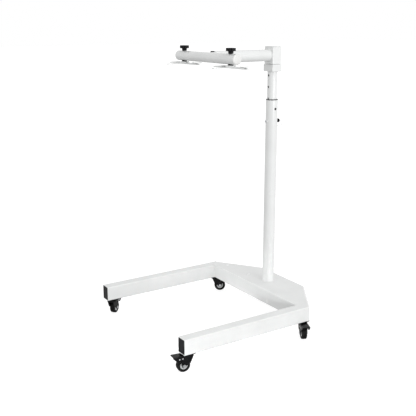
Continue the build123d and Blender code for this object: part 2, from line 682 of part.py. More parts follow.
def caster_fork():
    fork = upright(race_d / 2, fork_web_bottom, fork_top)
    crown_bottom = fork_web_bottom - crown_skirt
    crown = upright(crown_d / 2, crown_bottom, fork_web_bottom + cheek)
    fork += crown - upright(crown_d / 2 - cheek, crown_bottom - 1, fork_web_bottom)
    web_end = pedal_pivot_x + cheek
    fork += block(0, web_end, -cheek_outer, cheek_outer, fork_web_bottom, fork_web_bottom + cheek)
    for side in (1, -1):
        points = [
            (cheek_lead, crown_bottom), (cheek_lead, fork_web_bottom + cheek), (web_end, fork_web_bottom + cheek),
            (web_end + cheek_tail, pedal_pivot_z - cheek_tail_drop), (wheel_trail + cheek_end_r, axle_z),
            (wheel_trail - cheek_end_r, axle_z), (cheek_knee_x, axle_z + cheek_knee_rise),
        ]
        low, high = sorted((side * cheek_inner, side * cheek_outer))
        fork += side_profile(points, low, high)
        fork += along_y(cheek_end_r, low, high, x=wheel_trail, z=axle_z)
    fork -= upright(kingpin_d / 2 + running, 0, 100)
    fork -= along_y(axle_d / 2, -30, 30, x=wheel_trail, z=axle_z)
    fork -= along_y(pedal_pin_d / 2 + running, -30, 30, x=pedal_pivot_x, z=pedal_pivot_z)
    return fork


def caster_axle():
    axle = along_y(axle_d / 2, -cheek_outer, cheek_outer, x=wheel_trail, z=axle_z)
    nut = Plane.XZ * RegularPolygon(bolt_head_d / 2, 6, major_radius=False)
    for side in (1, -1):
        start = cheek_outer if side > 0 else -cheek_outer - bolt_head
        hexagon = Pos(wheel_trail, start + bolt_head, axle_z) * extrude(nut, bolt_head)
        axle += hexagon
    return axle


def caster_tread():
    half = wheel_width / 2
    tread = along_y(wheel_d / 2, -half, half, x=wheel_trail, z=axle_z)
    tread = fillet(tread.edges().filter_by(GeomType.CIRCLE), tread_round)
    return tread - along_y(hub_d / 2, -half - 1, half + 1, x=wheel_trail, z=axle_z)


def caster_hub():
    half = wheel_width / 2
    hub = along_y(hub_d / 2, -half + hub_recess, half - hub_recess, x=wheel_trail, z=axle_z)
    for side in (1, -1):
        face = side * (half - hub_recess)
        dish = along_y(hub_d / 2 - hub_rim, face - side * hub_dish, face + side * past, x=wheel_trail, z=axle_z)
        hub -= dish - along_y(axle_d / 2 + hub_nave, -half, half, x=wheel_trail, z=axle_z)
    boss_half = cheek_inner - gap
    hub += along_y(axle_d / 2 + hub_collar, -boss_half, boss_half, x=wheel_trail, z=axle_z)
    return hub - along_y(axle_d / 2 + running, -boss_half - 1, boss_half + 1, x=wheel_trail, z=axle_z)


def caster_pedal():
    pedal = block(pedal_deck_x, pedal_tip_x, -skirt_outer, skirt_outer, pedal_top - pedal_sheet, pedal_top)
    heel_x = pedal_pivot_x - pedal_back
    points = [
        (heel_x, pedal_pivot_z - pedal_heel_drop), (heel_x, pedal_top - pedal_heel_low), (pedal_pivot_x, pedal_top),
        (pedal_tip_x, pedal_top), (pedal_tip_x, pedal_top - pedal_lip),
        (pedal_lip_x, pedal_pivot_z - pedal_side_drop), (pedal_root_x, pedal_pivot_z - pedal_root_drop),
    ]
    for side in (1, -1):
        low, high = sorted((side * skirt_inner, side * skirt_outer))
        pedal += side_profile(points, low, high)
    half_shoe = shoe_width / 2
    pedal += block(shoe_x, shoe_x + shoe_length, -half_shoe, half_shoe, pedal_pivot_z - shoe_drop, pedal_top)
    pin_end = skirt_outer + pedal_pin_proud
    pedal += along_y(pedal_pin_d / 2, -pin_end, pin_end, x=pedal_pivot_x, z=pedal_pivot_z)
    return pedal


def build_casters():
    plates = []
    kingpins = []
    plate_bottom = base_bottom - plate_sheet
    for name, (x, y) in caster_places.items():
        spot = Pos(x, y, 0)
        plate = spot * extrude(RectangleRounded(plate_size, plate_size, plate_corner), plate_sheet)
        plate = Pos(0, 0, plate_bottom) * plate - upright(kingpin_d / 2, 0, base_bottom, x, y)
        for screw_x, screw_y in screw_spots():
            plate -= upright(plate_screw_d / 2, 0, base_bottom, screw_x, screw_y)
        plates.append(plate)
        pin = upright(kingpin_d / 2, fork_web_bottom - gap, base_bottom)
        pin += upright(kingpin_head_d / 2, fork_web_bottom - gap - kingpin_head, fork_web_bottom - gap)
        kingpins.append(spot * pin)
        turned = spot * Rot(0, 0, caster_angles[name])
        save(f"caster_fork_{name}", turned * caster_fork())
        save(f"caster_axle_{name}", turned * caster_axle())
        save(f"caster_tread_{name}", turned * caster_tread())
        save(f"caster_hub_{name}", turned * caster_hub())
        save(f"caster_pedal_{name}", turned * caster_pedal())
    screws = []
    for x, y in screw_spots():
        screw = upright(plate_screw_d / 2, plate_bottom, base_bottom + tube_wall, x, y)
        screws.append(screw + upright(plate_screw_head_d / 2, plate_bottom - plate_screw_head, plate_bottom, x, y))
    save("caster_plates", group(plates))
    save("caster_kingpins", group(kingpins))
    save("caster_screws", group(screws))


build_base()
build_column()
build_plunger()
build_mast()
build_head()
build_crossbar()
for carrier_side, carrier_name in ((1, "right"), (-1, "left")):
    build_carrier(carrier_side, carrier_name)
build_casters()
print(len(nodes), "nodes written")
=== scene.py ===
from math import cos, pi, radians, sin, tau

import bmesh
import bpy
from mathutils import Matrix, Vector


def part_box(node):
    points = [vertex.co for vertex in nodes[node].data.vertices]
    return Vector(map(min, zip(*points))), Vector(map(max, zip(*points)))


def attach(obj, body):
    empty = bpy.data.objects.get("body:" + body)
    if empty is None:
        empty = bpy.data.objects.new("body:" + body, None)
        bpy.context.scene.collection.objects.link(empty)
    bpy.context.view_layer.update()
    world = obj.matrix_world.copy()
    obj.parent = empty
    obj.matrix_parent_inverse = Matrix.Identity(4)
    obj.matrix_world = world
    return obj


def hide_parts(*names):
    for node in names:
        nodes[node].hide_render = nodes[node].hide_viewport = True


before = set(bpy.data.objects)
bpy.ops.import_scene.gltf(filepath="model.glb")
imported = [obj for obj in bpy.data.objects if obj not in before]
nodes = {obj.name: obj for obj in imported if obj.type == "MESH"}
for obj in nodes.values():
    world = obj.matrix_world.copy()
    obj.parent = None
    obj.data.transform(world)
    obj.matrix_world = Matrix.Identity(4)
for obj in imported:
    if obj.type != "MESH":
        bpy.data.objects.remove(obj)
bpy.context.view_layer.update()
print("frame loaded:", len(nodes), "nodes")


# shader maths: a socket that can be added, multiplied and so on
class Wire:
    def __init__(self, finish, socket):
        self.finish = finish
        self.socket = socket

    def reckon(self, operation, left, right):
        return self.finish.node("ShaderNodeMath", {"operation": operation}, {0: left, 1: right})

    def __add__(self, other):
        return self.reckon("ADD", self, other)

    def __radd__(self, other):
        return self.reckon("ADD", other, self)

    def __sub__(self, other):
        return self.reckon("SUBTRACT", self, other)

    def __rsub__(self, other):
        return self.reckon("SUBTRACT", other, self)

    def __mul__(self, other):
        return self.reckon("MULTIPLY", self, other)

    def __rmul__(self, other):
        return self.reckon("MULTIPLY", other, self)

    def __pow__(self, other):
        return self.reckon("POWER", self, other)


class Nodes:
    def __init__(self, tree):
        self.tree = tree

    def node(self, kind, settings, inputs, output=0):
        made = self.tree.nodes.new(kind)
        for key, value in settings.items():
            if key == "stops":
                for stop, (spot, shade) in zip(made.color_ramp.elements, value):
                    stop.position = spot
                    stop.color = (shade, shade, shade, 1)
            else:
                setattr(made, key, value)
        for key, value in inputs.items():
            if isinstance(value, Wire):
                self.tree.links.new(value.socket, made.inputs[key])
            else:
                made.inputs[key].default_value = value
        return Wire(self, made.outputs[output])


class Finish(Nodes):
    def __init__(self, name, fixed):
        self.material = bpy.data.materials.new(name)
        self.material.use_nodes = True
        super().__init__(self.material.node_tree)
        self.shader = self.tree.nodes["Principled BSDF"]
        for socket, value in fixed.items():
            self.shader.inputs[socket].default_value = value
        self.place = self.node("ShaderNodeTexCoord", {}, {}, "Object")

    def stretched(self, size, stretch=(1, 1, 1), turn=(0, 0, 0)):
        scale = [part / size for part in stretch]
        return self.node("ShaderNodeMapping", {}, {"Vector": self.place, "Scale": scale, "Rotation": turn})

    def noise(self, size, detail=2.0, stretch=(1, 1, 1)):
        spot = self.stretched(size, stretch)
        return self.node("ShaderNodeTexNoise", {}, {"Vector": spot, "Scale": 1.0, "Detail": detail})

    def cells(self, size, output="Distance"):
        spot = self.stretched(size)
        return self.node("ShaderNodeTexVoronoi", {}, {"Vector": spot, "Scale": 1.0}, output)

    def fade(self, mask, low, high):
        return self.node("ShaderNodeValToRGB", {"stops": ((low, 0.0), (high, 1.0))}, {"Fac": mask})

    def between(self, mask, low, high):
        return low + (high - low) * mask

    def tint(self, mask, low, high):
        return self.node("ShaderNodeMix", {"data_type": "RGBA"}, {0: mask, 6: (*low, 1), 7: (*high, 1)}, 2)

    def tintOver(self, mask, under, colour):
        return self.node("ShaderNodeMix", {"data_type": "RGBA"}, {0: mask, 6: under, 7: (*colour, 1)}, 2)

    def feed(self, socket, wire):
        self.tree.links.new(wire.socket, self.shader.inputs[socket])

    def bump(self, height, depth, strength=1.0):
        normal = self.node("ShaderNodeBump", {}, {"Height": height, "Distance": depth, "Strength": strength})
        self.feed("Normal", normal)


powder = {
    "thin": (0.735, 0.745, 0.742), "thick": (0.79, 0.80, 0.796), "peel": 0.0017, "peelDepth": 0.00005,
    "glossy": 0.2, "dull": 0.3, "speck": 0.0012, "dust": (0.66, 0.665, 0.66),
}


def powderCoat():
    finish = Finish(
        "whitePowderCoat", {"Coat Weight": 0.35, "Coat Roughness": 0.08, "Specular IOR Level": 0.5},
    )
    peel = finish.noise(powder["peel"], 2.0)
    broad = finish.noise(0.11, 3.0)
    speck = finish.fade(finish.noise(powder["speck"], 1.0), 0.68, 0.75)
    colour = finish.tint(finish.fade(broad, 0.3, 0.7), powder["thin"], powder["thick"])
    dusty = finish.fade(finish.noise(0.06, 3.0), 0.55, 0.95) * 0.2
    colour = finish.tintOver(dusty + speck * 0.05, colour, powder["dust"])
    finish.feed("Base Color", colour)
    finish.feed("Roughness", finish.between(broad, powder["glossy"], powder["dull"]) + dusty * 0.25)
    finish.bump(peel + finish.noise(0.006, 1.0) * 0.8, powder["peelDepth"], 0.35)
    return finish.material


def mouldedPlastic(name, dark, light, grain, grainDepth, glossy, dull, shine=0.5):
    finish = Finish(name, {"Specular IOR Level": shine})
    spark = finish.noise(grain, 3.0)
    flow = finish.noise(0.02, 2.0, (1, 1, 0.4))  # faint flow lines from the mould
    rub = finish.fade(finish.noise(0.012, 4.0), 0.58, 0.78)
    finish.feed("Base Color", finish.tint(flow * 0.5 + rub * 0.5, dark, light))
    finish.feed("Roughness", finish.between(rub, glossy, dull) + spark * 0.06)
    finish.bump(spark + flow * 0.3, grainDepth, 0.6)
    return finish.material


def rubberTread():
    finish = Finish("blackRubber", {"Specular IOR Level": 0.12})
    grain = finish.noise(0.0007, 3.0)
    dust = finish.fade(finish.noise(0.009, 5.0), 0.5, 0.8)
    finish.feed("Base Color", finish.tint(dust * 0.6, (0.004, 0.004, 0.004), (0.018, 0.0175, 0.017)))
    finish.feed("Roughness", finish.between(dust, 0.55, 0.8))
    finish.bump(grain, 0.00006, 0.5)
    return finish.material


def blackEnamel():
    finish = Finish("blackEnamel", {"Coat Weight": 0.05, "Coat Roughness": 0.08, "Specular IOR Level": 0.16})
    peel = finish.noise(0.0012, 2.0)
    scuff = finish.fade(finish.noise(0.004, 6.0, (1, 1, 3)), 0.66, 0.8)
    finish.feed("Base Color", finish.tint(scuff, (0.004, 0.004, 0.0045), (0.02, 0.02, 0.021)))
    finish.feed("Roughness", finish.between(scuff, 0.22, 0.5) + peel * 0.05)
    finish.bump(peel, 0.00004, 0.4)
    return finish.material


def blackOxide():
    finish = Finish("blackOxide", {"Specular IOR Level": 0.3})
    oil = finish.noise(0.003, 4.0)
    worn = finish.fade(finish.noise(0.0015, 5.0), 0.6, 0.8)
    finish.feed("Base Color", finish.tint(worn * 0.7, (0.008, 0.008, 0.009), (0.06, 0.06, 0.063)))
    finish.feed("Metallic", worn * 0.5)
    finish.feed("Roughness", finish.between(oil, 0.28, 0.5))
    finish.bump(finish.noise(0.0004, 2.0), 0.00002, 0.5)
    return finish.material


def zincPlate():
    finish = Finish("zincPlate", {"Metallic": 1.0})
    crystal = finish.cells(0.0035, "Color")
    patch = finish.noise(0.008, 3.0)
    grey = finish.tint(patch, (0.55, 0.56, 0.58), (0.78, 0.79, 0.80))
    finish.feed(
        "Base Color",
        finish.tintOver(finish.fade(finish.noise(0.015, 4.0), 0.6, 0.8) * 0.4, grey, (0.62, 0.60, 0.52)),
    )
    finish.feed("Roughness", finish.between(patch, 0.24, 0.42))
    finish.bump(crystal * 0.4 + finish.noise(0.0006, 2.0), 0.00002, 0.5)
    return finish.material


def turnedSteel():
    finish = Finish("turnedSteel", {"Metallic": 1.0})
    lay = finish.noise(0.0005, 3.0, (0.15, 0.15, 1.0))  # fine lines left by the lathe tool
    smear = finish.noise(0.01, 3.0)
    finish.feed("Base Color", finish.tint(smear, (0.52, 0.53, 0.55), (0.68, 0.69, 0.71)))
    finish.feed("Roughness", finish.between(lay, 0.2, 0.4))
    finish.bump(lay, 0.000015, 0.6)
    return finish.material


finishes = {
    "white_powder_coat": powderCoat(),
    "black_plastic": mouldedPlastic(
        "blackPlastic", (0.004, 0.004, 0.005), (0.012, 0.012, 0.013), 0.0006, 0.00005, 0.3, 0.48, 0.14,
    ),
    "white_plastic": mouldedPlastic(
        "whitePlastic", (0.72, 0.72, 0.71), (0.80, 0.80, 0.79), 0.0008, 0.00003, 0.22, 0.34,
    ),
    "grey_hub_plastic": mouldedPlastic(
        "greyHubPlastic", (0.60, 0.61, 0.61), (0.70, 0.71, 0.71), 0.0008, 0.00003, 0.25, 0.4,
    ),
    "black_rubber": rubberTread(),
    "black_enamel": blackEnamel(),
    "black_oxide": blackOxide(),
    "zinc_steel": zincPlate(),
    "machined_steel": turnedSteel(),
    "acetal": mouldedPlastic("acetal", (0.66, 0.65, 0.60), (0.76, 0.75, 0.70), 0.0007, 0.00002, 0.3, 0.4),
}
slotOf = {}
for nodeName, part in nodes.items():
    slotOf[nodeName] = part.data.materials[0].name.split(".")[0]
    part.data.materials.clear()
    part.data.materials.append(finishes[slotOf[nodeName]])
print("finishes made:", len(finishes))


# shaping helpers
def turned(mesh, outline, steps=96, closed=True):
    # spins an outline of (radius, height) pairs round Z
    dots = [mesh.verts.new((radius, 0, height)) for radius, height in outline]
    pairs = list(zip(dots, dots[1:]))
    if closed:
        pairs.append((dots[-1], dots[0]))
    lines = [mesh.edges.new(pair) for pair in pairs]
    bmesh.ops.spin(
        mesh, geom=dots + lines, cent=(0, 0, 0), axis=(0, 0, 1), angle=tau, steps=steps, use_merge=True,
    )
    bmesh.ops.remove_doubles(mesh, verts=mesh.verts, dist=1e-6)
    bmesh.ops.recalc_face_normals(mesh, faces=mesh.faces)


def soften(mesh, width, segments=2, above=40):
    # rounds every edge whose faces meet at more than this many degrees
    sharp = [edge for edge in mesh.edges if edge.is_manifold and edge.calc_face_angle() > radians(above)]
    bmesh.ops.bevel(
        mesh, geom=sharp, offset=width, offset_type="OFFSET", segments=segments, profile=0.5,
        affect="EDGES", material=-1, clamp_overlap=True,
    )


def place(mesh, axis, centre):
    # lays a shape made along Z along another axis, then moves it
    turn = Vector((0, 0, 1)).rotation_difference(Vector(axis)).to_matrix().to_4x4()
    bmesh.ops.transform(mesh, matrix=Matrix.Translation(centre) @ turn, verts=mesh.verts)


def merge(meshes):
    whole = bmesh.new()
    for mesh in meshes:
        spare = bpy.data.meshes.new("spare")
        mesh.to_mesh(spare)
        mesh.free()
        whole.from_mesh(spare)
        bpy.data.meshes.remove(spare)
    return whole


def finishPiece(name, mesh, body, replaced, slot, creaseAngle=38, edge=None):
    for face in mesh.faces:
        face.smooth = True
    for line in mesh.edges:
        if line.is_manifold:
            line.smooth = line.calc_face_angle() < radians(creaseAngle)
    data = bpy.data.meshes.new(name)
    mesh.to_mesh(data)
    mesh.free()
    piece = bpy.data.objects.new(name, data)
    bpy.context.scene.collection.objects.link(piece)
    data.materials.append(finishes[slot])
    if edge:
        bevel = piece.modifiers.new("softEdge", "BEVEL")
        bevel.limit_method = "ANGLE"
        bevel.angle_limit = radians(35)
        bevel.width = edge
        bevel.segments = 2
        bevel.harden_normals = True
    weighted = piece.modifiers.new("flatFaces", "WEIGHTED_NORMAL")
    weighted.keep_sharp = True
    weighted.weight = 80
    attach(piece, body)
    if replaced:
        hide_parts(*replaced)
    return piece


def fromPart(node):
    # a merged copy of a node's mesh, its flat faces joined up again
    mesh = bmesh.new()
    mesh.from_mesh(nodes[node].data)
    bmesh.ops.remove_doubles(mesh, verts=mesh.verts, dist=2e-6)
    bmesh.ops.dissolve_limit(mesh, angle_limit=radians(0.6), verts=mesh.verts, edges=mesh.edges)
    return mesh


def softCopy(node, body, edge, slot=None):
    finishPiece(node + "_soft", fromPart(node), body, [node], slot or slotOf[node], edge=edge)


def middle(node):
    low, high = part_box(node)
    return (low + high) / 2


# base frame: folded deck, two legs and the cross tube, all welded up
baseLooks = {"weldedEdge": 0.0009, "sheetEdge": 0.0006}
for nodeName in ("leg_left", "leg_right", "front_cross_tube"):
    softCopy(nodeName, "base", baseLooks["weldedEdge"])
softCopy("deck_pan", "base", baseLooks["sheetEdge"])
softCopy("column_spine", "base", baseLooks["sheetEdge"])

capLooks = {
    "face": 0.003, "corner": 0.002, "edge": 0.0008, "panelInset": 0.0045, "panelDepth": 0.0008, "wall": 0.0025,
}


def legCap(side):
    # a pressed-in plug: a rounded face with a shallow panel, and four walls behind it
    node = "leg_cap_" + side
    low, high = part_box(node)
    face, wall = capLooks["face"], capLooks["wall"]
    lid = bmesh.new()
    bmesh.ops.create_cube(lid, size=1)
    bmesh.ops.scale(lid, vec=(high.x - low.x, face, high.z - low.z), verts=lid.verts)
    bmesh.ops.translate(lid, vec=(middle(node).x, low.y + face / 2, middle(node).z), verts=lid.verts)
    lid.normal_update()
    front = [plane for plane in lid.faces if plane.normal.y < -0.9]
    corners = [edge for edge in lid.edges if abs(edge.verts[0].co.y - edge.verts[1].co.y) > face / 2]
    bmesh.ops.inset_individual(lid, faces=front, thickness=capLooks["panelInset"], use_even_offset=True)
    bmesh.ops.inset_individual(
        lid, faces=front, thickness=capLooks["panelDepth"],
        depth=-capLooks["panelDepth"], use_even_offset=True,
    )
    bmesh.ops.bevel(
        lid, geom=corners, offset=capLooks["corner"], segments=5, profile=0.5, affect="EDGES", material=-1,
    )
    lid.normal_update()
    rim = [
        edge for edge in lid.edges
        if edge.is_manifold and min(dot.co.y for dot in edge.verts) == max(dot.co.y for dot in edge.verts)
        and edge.verts[0].co.y < low.y + face / 2 and edge.calc_face_angle() > radians(80)
    ]
    bmesh.ops.bevel(
        lid, geom=rim, offset=capLooks["edge"], segments=3, profile=0.5, affect="EDGES", material=-1,
    )
    shapes = [lid]
    for centre, size in (
        ((low.x + wall / 2, (low.z + high.z) / 2), (wall, high.z - low.z - 2 * wall)),
        ((high.x - wall / 2, (low.z + high.z) / 2), (wall, high.z - low.z - 2 * wall)),
        (((low.x + high.x) / 2, low.z + wall / 2), (high.x - low.x - 2 * wall, wall)),
        (((low.x + high.x) / 2, high.z - wall / 2), (high.x - low.x - 2 * wall, wall)),
    ):
        fin = bmesh.new()
        bmesh.ops.create_cube(fin, size=1)
        bmesh.ops.scale(fin, vec=(size[0], high.y - low.y - face + 0.0005, size[1]), verts=fin.verts)
        bmesh.ops.translate(
            fin, vec=(centre[0], (low.y + face - 0.0005 + high.y) / 2, centre[1]), verts=fin.verts,
        )
        soften(fin, 0.0004, 2, 50)
        shapes.append(fin)
    finishPiece("legCap_" + side, merge(shapes), "base", [node], slotOf[node])


for side in ("left", "right"):
    legCap(side)
print("base frame built")

# column, bush and mast
columnLooks = {
    "wall": 0.002, "lip": 0.0008, "steps": 128, "weldBead": 0.0028, "weldRipples": 46, "mastEdge": 0.0004,
}


def outerTube():
    low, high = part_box("column_outer_tube")
    outer = (high.x - low.x) / 2
    wall, lip = columnLooks["wall"], columnLooks["lip"]
    tube = bmesh.new()
    turned(tube, [
        (outer, low.z), (outer, high.z - lip), (outer - lip, high.z), (outer - wall + lip / 2, high.z),
        (outer - wall, high.z - lip / 2), (outer - wall, low.z),
    ], columnLooks["steps"])
    finishPiece("columnTube", tube, "base", ["column_outer_tube"], slotOf["column_outer_tube"])


def weldRing(name, body, outer, axis, centre, steps=184):
    # a bead of weld under the paint, rippled where the torch paused
    bead = columnLooks["weldBead"]
    ring = bmesh.new()
    turned(ring, [
        (outer - 0.0005, -0.0005), (outer + bead, -0.0005), (outer + bead * 0.55, bead * 0.55),
        (outer - 0.0005, bead),
    ], steps)
    for dot in ring.verts:
        reach = Vector((dot.co.x, dot.co.y))
        if reach.length > outer + bead * 0.3:
            turn = Vector((1, 0)).angle_signed(reach, 0)
            swell = 1 + 0.008 * cos(turn * columnLooks["weldRipples"]) + 0.004 * sin(turn * 5)
            dot.co.x *= swell
            dot.co.y *= swell
    place(ring, axis, centre)
    finishPiece(name, ring, body, [], "white_powder_coat", creaseAngle=70)


outerTube()
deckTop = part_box("front_cross_tube")[1].z
columnLow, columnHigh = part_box("column_outer_tube")
columnRadius = (columnHigh.x - columnLow.x) / 2
weldRing("columnWeld", "base", columnRadius, (0, 0, 1), (0, 0, deckTop))

bushLooks = {"lip": 0.0012, "groove": 0.0005}


def guideBush():
    low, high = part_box("guide_bush")
    mastLow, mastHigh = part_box("mast_tube")
    bore = (mastHigh.x - mastLow.x) / 2 + 0.00005
    outer = (high.x - low.x) / 2
    seat = columnHigh.z
    lip, groove = bushLooks["lip"], bushLooks["groove"]
    sleeve = outer - columnLooks["wall"]
    bush = bmesh.new()
    turned(bush, [
        (sleeve, low.z), (sleeve, seat), (outer - groove, seat),
        (outer, seat + groove), (outer, high.z - lip),
        (outer - lip * 0.35, high.z - lip * 0.35), (outer - lip, high.z), (bore + 0.0006, high.z),
        (bore, high.z - 0.0006), (bore, low.z),
    ], columnLooks["steps"])
    finishPiece("guideBush", bush, "base", ["guide_bush"], slotOf["guide_bush"])


guideBush()
softCopy("mast_tube", "mast", columnLooks["mastEdge"])

screwLooks = {
    "socketDepth": 0.6, "shank": 0.003, "bushDrop": 0.0045,
    "bushHead": (0.0045, 0.0022, 0.0015), "steadyHead": (0.00425, 0.004, 0.002),
}


def socketHead(radius, height, socket, steps=48):
    # a screw head along Z, standing on z = 0, with a hexagon socket sunk in its top
    head = bmesh.new()
    bmesh.ops.create_cone(
        head, cap_ends=True, segments=steps, radius1=radius, radius2=radius, depth=height,
        matrix=Matrix.Translation((0, 0, height / 2)),
    )
    crown = [face for face in head.faces if face.normal.z > 0.9]
    rim = [edge for edge in crown[0].edges]
    bmesh.ops.bevel(
        head, geom=rim, offset=height * 0.16, segments=3, profile=0.5, affect="EDGES", material=-1,
    )
    wall = bmesh.new()
    bmesh.ops.create_cone(
        wall, cap_ends=True, segments=6, radius1=socket,
        radius2=socket, depth=height * screwLooks["socketDepth"],
        matrix=Matrix.Translation((0, 0, height * (1 - screwLooks["socketDepth"] / 2) + 0.00002)),
    )
    lid = [face for face in wall.faces if face.normal.z > 0.9]
    bmesh.ops.delete(wall, geom=lid, context="FACES_ONLY")
    bmesh.ops.reverse_faces(wall, faces=wall.faces)
    crown = max((face for face in head.faces if face.normal.z > 0.9), key=lambda face: face.calc_area())
    bmesh.ops.delete(head, geom=[crown], context="FACES_ONLY")
    head = merge([head, wall])
    gap = [edge for edge in head.edges if edge.is_boundary and min(v.co.z for v in edge.verts) > height * 0.9]
    bmesh.ops.bridge_loops(head, edges=gap)
    bmesh.ops.recalc_face_normals(head, faces=head.faces)
    return head


def shank(radius, start, end, steps=32):
    stem = bmesh.new()
    bmesh.ops.create_cone(
        stem, cap_ends=True, segments=steps, radius1=radius, radius2=radius, depth=end - start,
        matrix=Matrix.Translation((0, 0, (start + end) / 2)),
    )
    return stem


def columnScrews():
    # a small screw that holds the bush, and the one in front that steadies the mast
    low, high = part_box("column_screws")
    lockHeight = middle("column_bosses").z
    bushHeight = high.z - screwLooks["bushDrop"]
    mastRadius = (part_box("mast_tube")[1].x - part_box("mast_tube")[0].x) / 2
    small = socketHead(*screwLooks["bushHead"])
    bmesh.ops.translate(small, vec=(0, 0, columnRadius - 0.0002), verts=small.verts)
    small = merge([small, shank(screwLooks["shank"], mastRadius + 0.0006, columnRadius + 0.0005)])
    place(small, (1, 0, 0), (0, 0, bushHeight))
    reach = -low.y
    steady = socketHead(*screwLooks["steadyHead"])
    bmesh.ops.translate(steady, vec=(0, 0, reach - screwLooks["steadyHead"][1]), verts=steady.verts)
    steady = merge([steady, shank(screwLooks["shank"], mastRadius + 0.0006, reach - 0.003)])
    place(steady, (0, -1, 0), (0, 0, lockHeight))
    finishPiece("bushScrew", small, "base", ["column_screws"], slotOf["column_screws"])
    finishPiece("steadyScrew", steady, "base", [], "zinc_steel")


columnScrews()
print("column built")

# spring plunger that locks the mast, with its pull ring
plungerLooks = {
    "flutes": 20, "fluteDepth": 0.0004, "endRound": 0.0016,
    "mouthRound": 0.0006, "ringTurns": 72, "ringWire": 0.0016,
    "knobBore": 0.0064, "knobSeat": 0.0025, "knobWall": 0.0018, "pinEdge": 0.0002,
    "guide": 0.006, "guideBore": 0.0047, "guideMouth": 0.00255, "guideWall": 0.0012, "seatBore": 0.003,
}


def columnBosses():
    # the white seat of the steady screw, welded to the front, and the plunger's black guide behind
    node = "column_bosses"
    low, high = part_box(node)
    start, height = columnRadius - 0.0035, middle(node).z
    outer, reach = (high.x - low.x) / 2, -low.y
    seat = bmesh.new()
    bore = plungerLooks["seatBore"]
    turned(seat, [
        (bore, start), (outer, start), (outer, reach - 0.0007), (outer - 0.0007, reach), (bore, reach),
    ], 64)
    place(seat, (0, -1, 0), (0, 0, height))
    finishPiece("steadySeat", seat, "base", [node], slotOf[node])
    outer, bore, reach = plungerLooks["guide"], plungerLooks["guideBore"], high.y
    mouth, wall = plungerLooks["guideMouth"], plungerLooks["guideWall"]
    guide = bmesh.new()
    turned(guide, [
        (bore, start), (outer, start), (outer, reach - 0.0007), (outer - 0.0007, reach), (mouth, reach),
        (mouth, reach - wall), (bore, reach - wall),
    ], 64)
    place(guide, (0, 1, 0), (0, 0, height))
    finishPiece("plungerGuide", guide, "base", [], "black_oxide")


def plungerKnob():
    node = "plunger_knob"
    low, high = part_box(node)
    radius = (high.x - low.x) / 2
    start, finishAt = low.y, high.y
    mouth, end, wall = plungerLooks["mouthRound"], plungerLooks["endRound"], plungerLooks["knobWall"]
    bore, seat = plungerLooks["knobBore"], plungerLooks["knobSeat"]
    knob = bmesh.new()
    turned(knob, [
        (bore, start), (radius - mouth, start), (radius, start + mouth), (radius, finishAt - end),
        (radius - end * 0.3, finishAt - end * 0.3), (radius - end, finishAt), (seat, finishAt),
        (seat, finishAt - wall), (bore, finishAt - wall),
    ], plungerLooks["flutes"] * 6)
    for dot in knob.verts:
        around = Vector((dot.co.x, dot.co.y))
        if around.length > radius - 0.0003 and start + mouth / 2 < dot.co.z < finishAt - end / 2:
            turn = Vector((1, 0)).angle_signed(around, 0)
            wave = 0.5 + 0.5 * cos(turn * plungerLooks["flutes"])
            squeeze = 1 - plungerLooks["fluteDepth"] / radius * wave
            dot.co.x *= squeeze
            dot.co.y *= squeeze
    place(knob, (0, 1, 0), (0, 0, middle(node).z))
    finishPiece("plungerKnob", knob, "plunger", [node], slotOf[node])


def pullRing():
    # a split ring: the wire goes round twice, each turn leaning a little on the other
    node = "pull_ring"
    low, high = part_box(node)
    deep, tall = high.y - low.y, high.z - low.z
    wire = plungerLooks["ringWire"] / 2
    mean = tall / 2 - wire
    ring = bmesh.new()
    for shift in (-1, 1):
        loop = bmesh.ops.create_circle(
            ring, segments=12, radius=wire * 0.56,
            matrix=Matrix.Translation((mean + wire * 0.4, 0, shift * wire * 0.46)) @ Matrix.Rotation(
                pi / 2, 4, "X",
            ),
        )
        edges = list({edge for dot in loop["verts"] for edge in dot.link_edges})
        bmesh.ops.spin(
            ring, geom=loop["verts"] + edges, cent=(0, 0, 0), axis=(0, 0, 1), angle=tau,
            steps=plungerLooks["ringTurns"], use_merge=True,
        )
    bmesh.ops.remove_doubles(ring, verts=ring.verts, dist=1e-6)
    bmesh.ops.recalc_face_normals(ring, faces=ring.faces)
    lean = (deep / 2 - wire) / mean  # sine of the angle that the ring hangs turned by
    place(ring, (lean, -((1 - lean * lean) ** 0.5), 0), middle(node))
    finishPiece("pullRing", ring, "ring", [node], slotOf[node])


columnBosses()
plungerKnob()
softCopy("plunger_pin", "plunger", plungerLooks["pinEdge"])
pullRing()
print("plunger built")

# collar, head and arm
headLooks = {"edge": 0.0007, "capEdge": 0.0004}
softCopy("collar_block", "mast", headLooks["edge"])
softCopy("head_tube", "head", headLooks["edge"])
softCopy("head_top_cap", "head", headLooks["capEdge"], "grey_hub_plastic")

armLooks = {
    "wall": 0.002, "lip": 0.0007, "steps": 128, "sleeveEdge": 0.0006,
    "lockHead": 0.0042, "lockSocket": 0.0025, "lockShank": 0.004,
}


def armTube():
    low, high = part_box("arm_tube")
    outer = (high.x - low.x) / 2
    wall, lip = armLooks["wall"], armLooks["lip"]
    tube = bmesh.new()
    turned(tube, [
        (outer, -high.y), (outer, -low.y - lip), (outer - lip, -low.y), (outer - wall + lip / 3, -low.y),
        (outer - wall, -low.y - lip / 3), (outer - wall, -high.y),
    ], armLooks["steps"])
    place(tube, (0, -1, 0), (0, 0, middle("arm_tube").z))
    finishPiece("armTube", tube, "head", ["arm_tube"], slotOf["arm_tube"])
    weldRing("armWeld", "head", outer, (0, -1, 0), (0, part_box("head_tube")[0].y, middle("arm_tube").z))


armTube()
softCopy("arm_end_sleeve", "head", armLooks["sleeveEdge"])


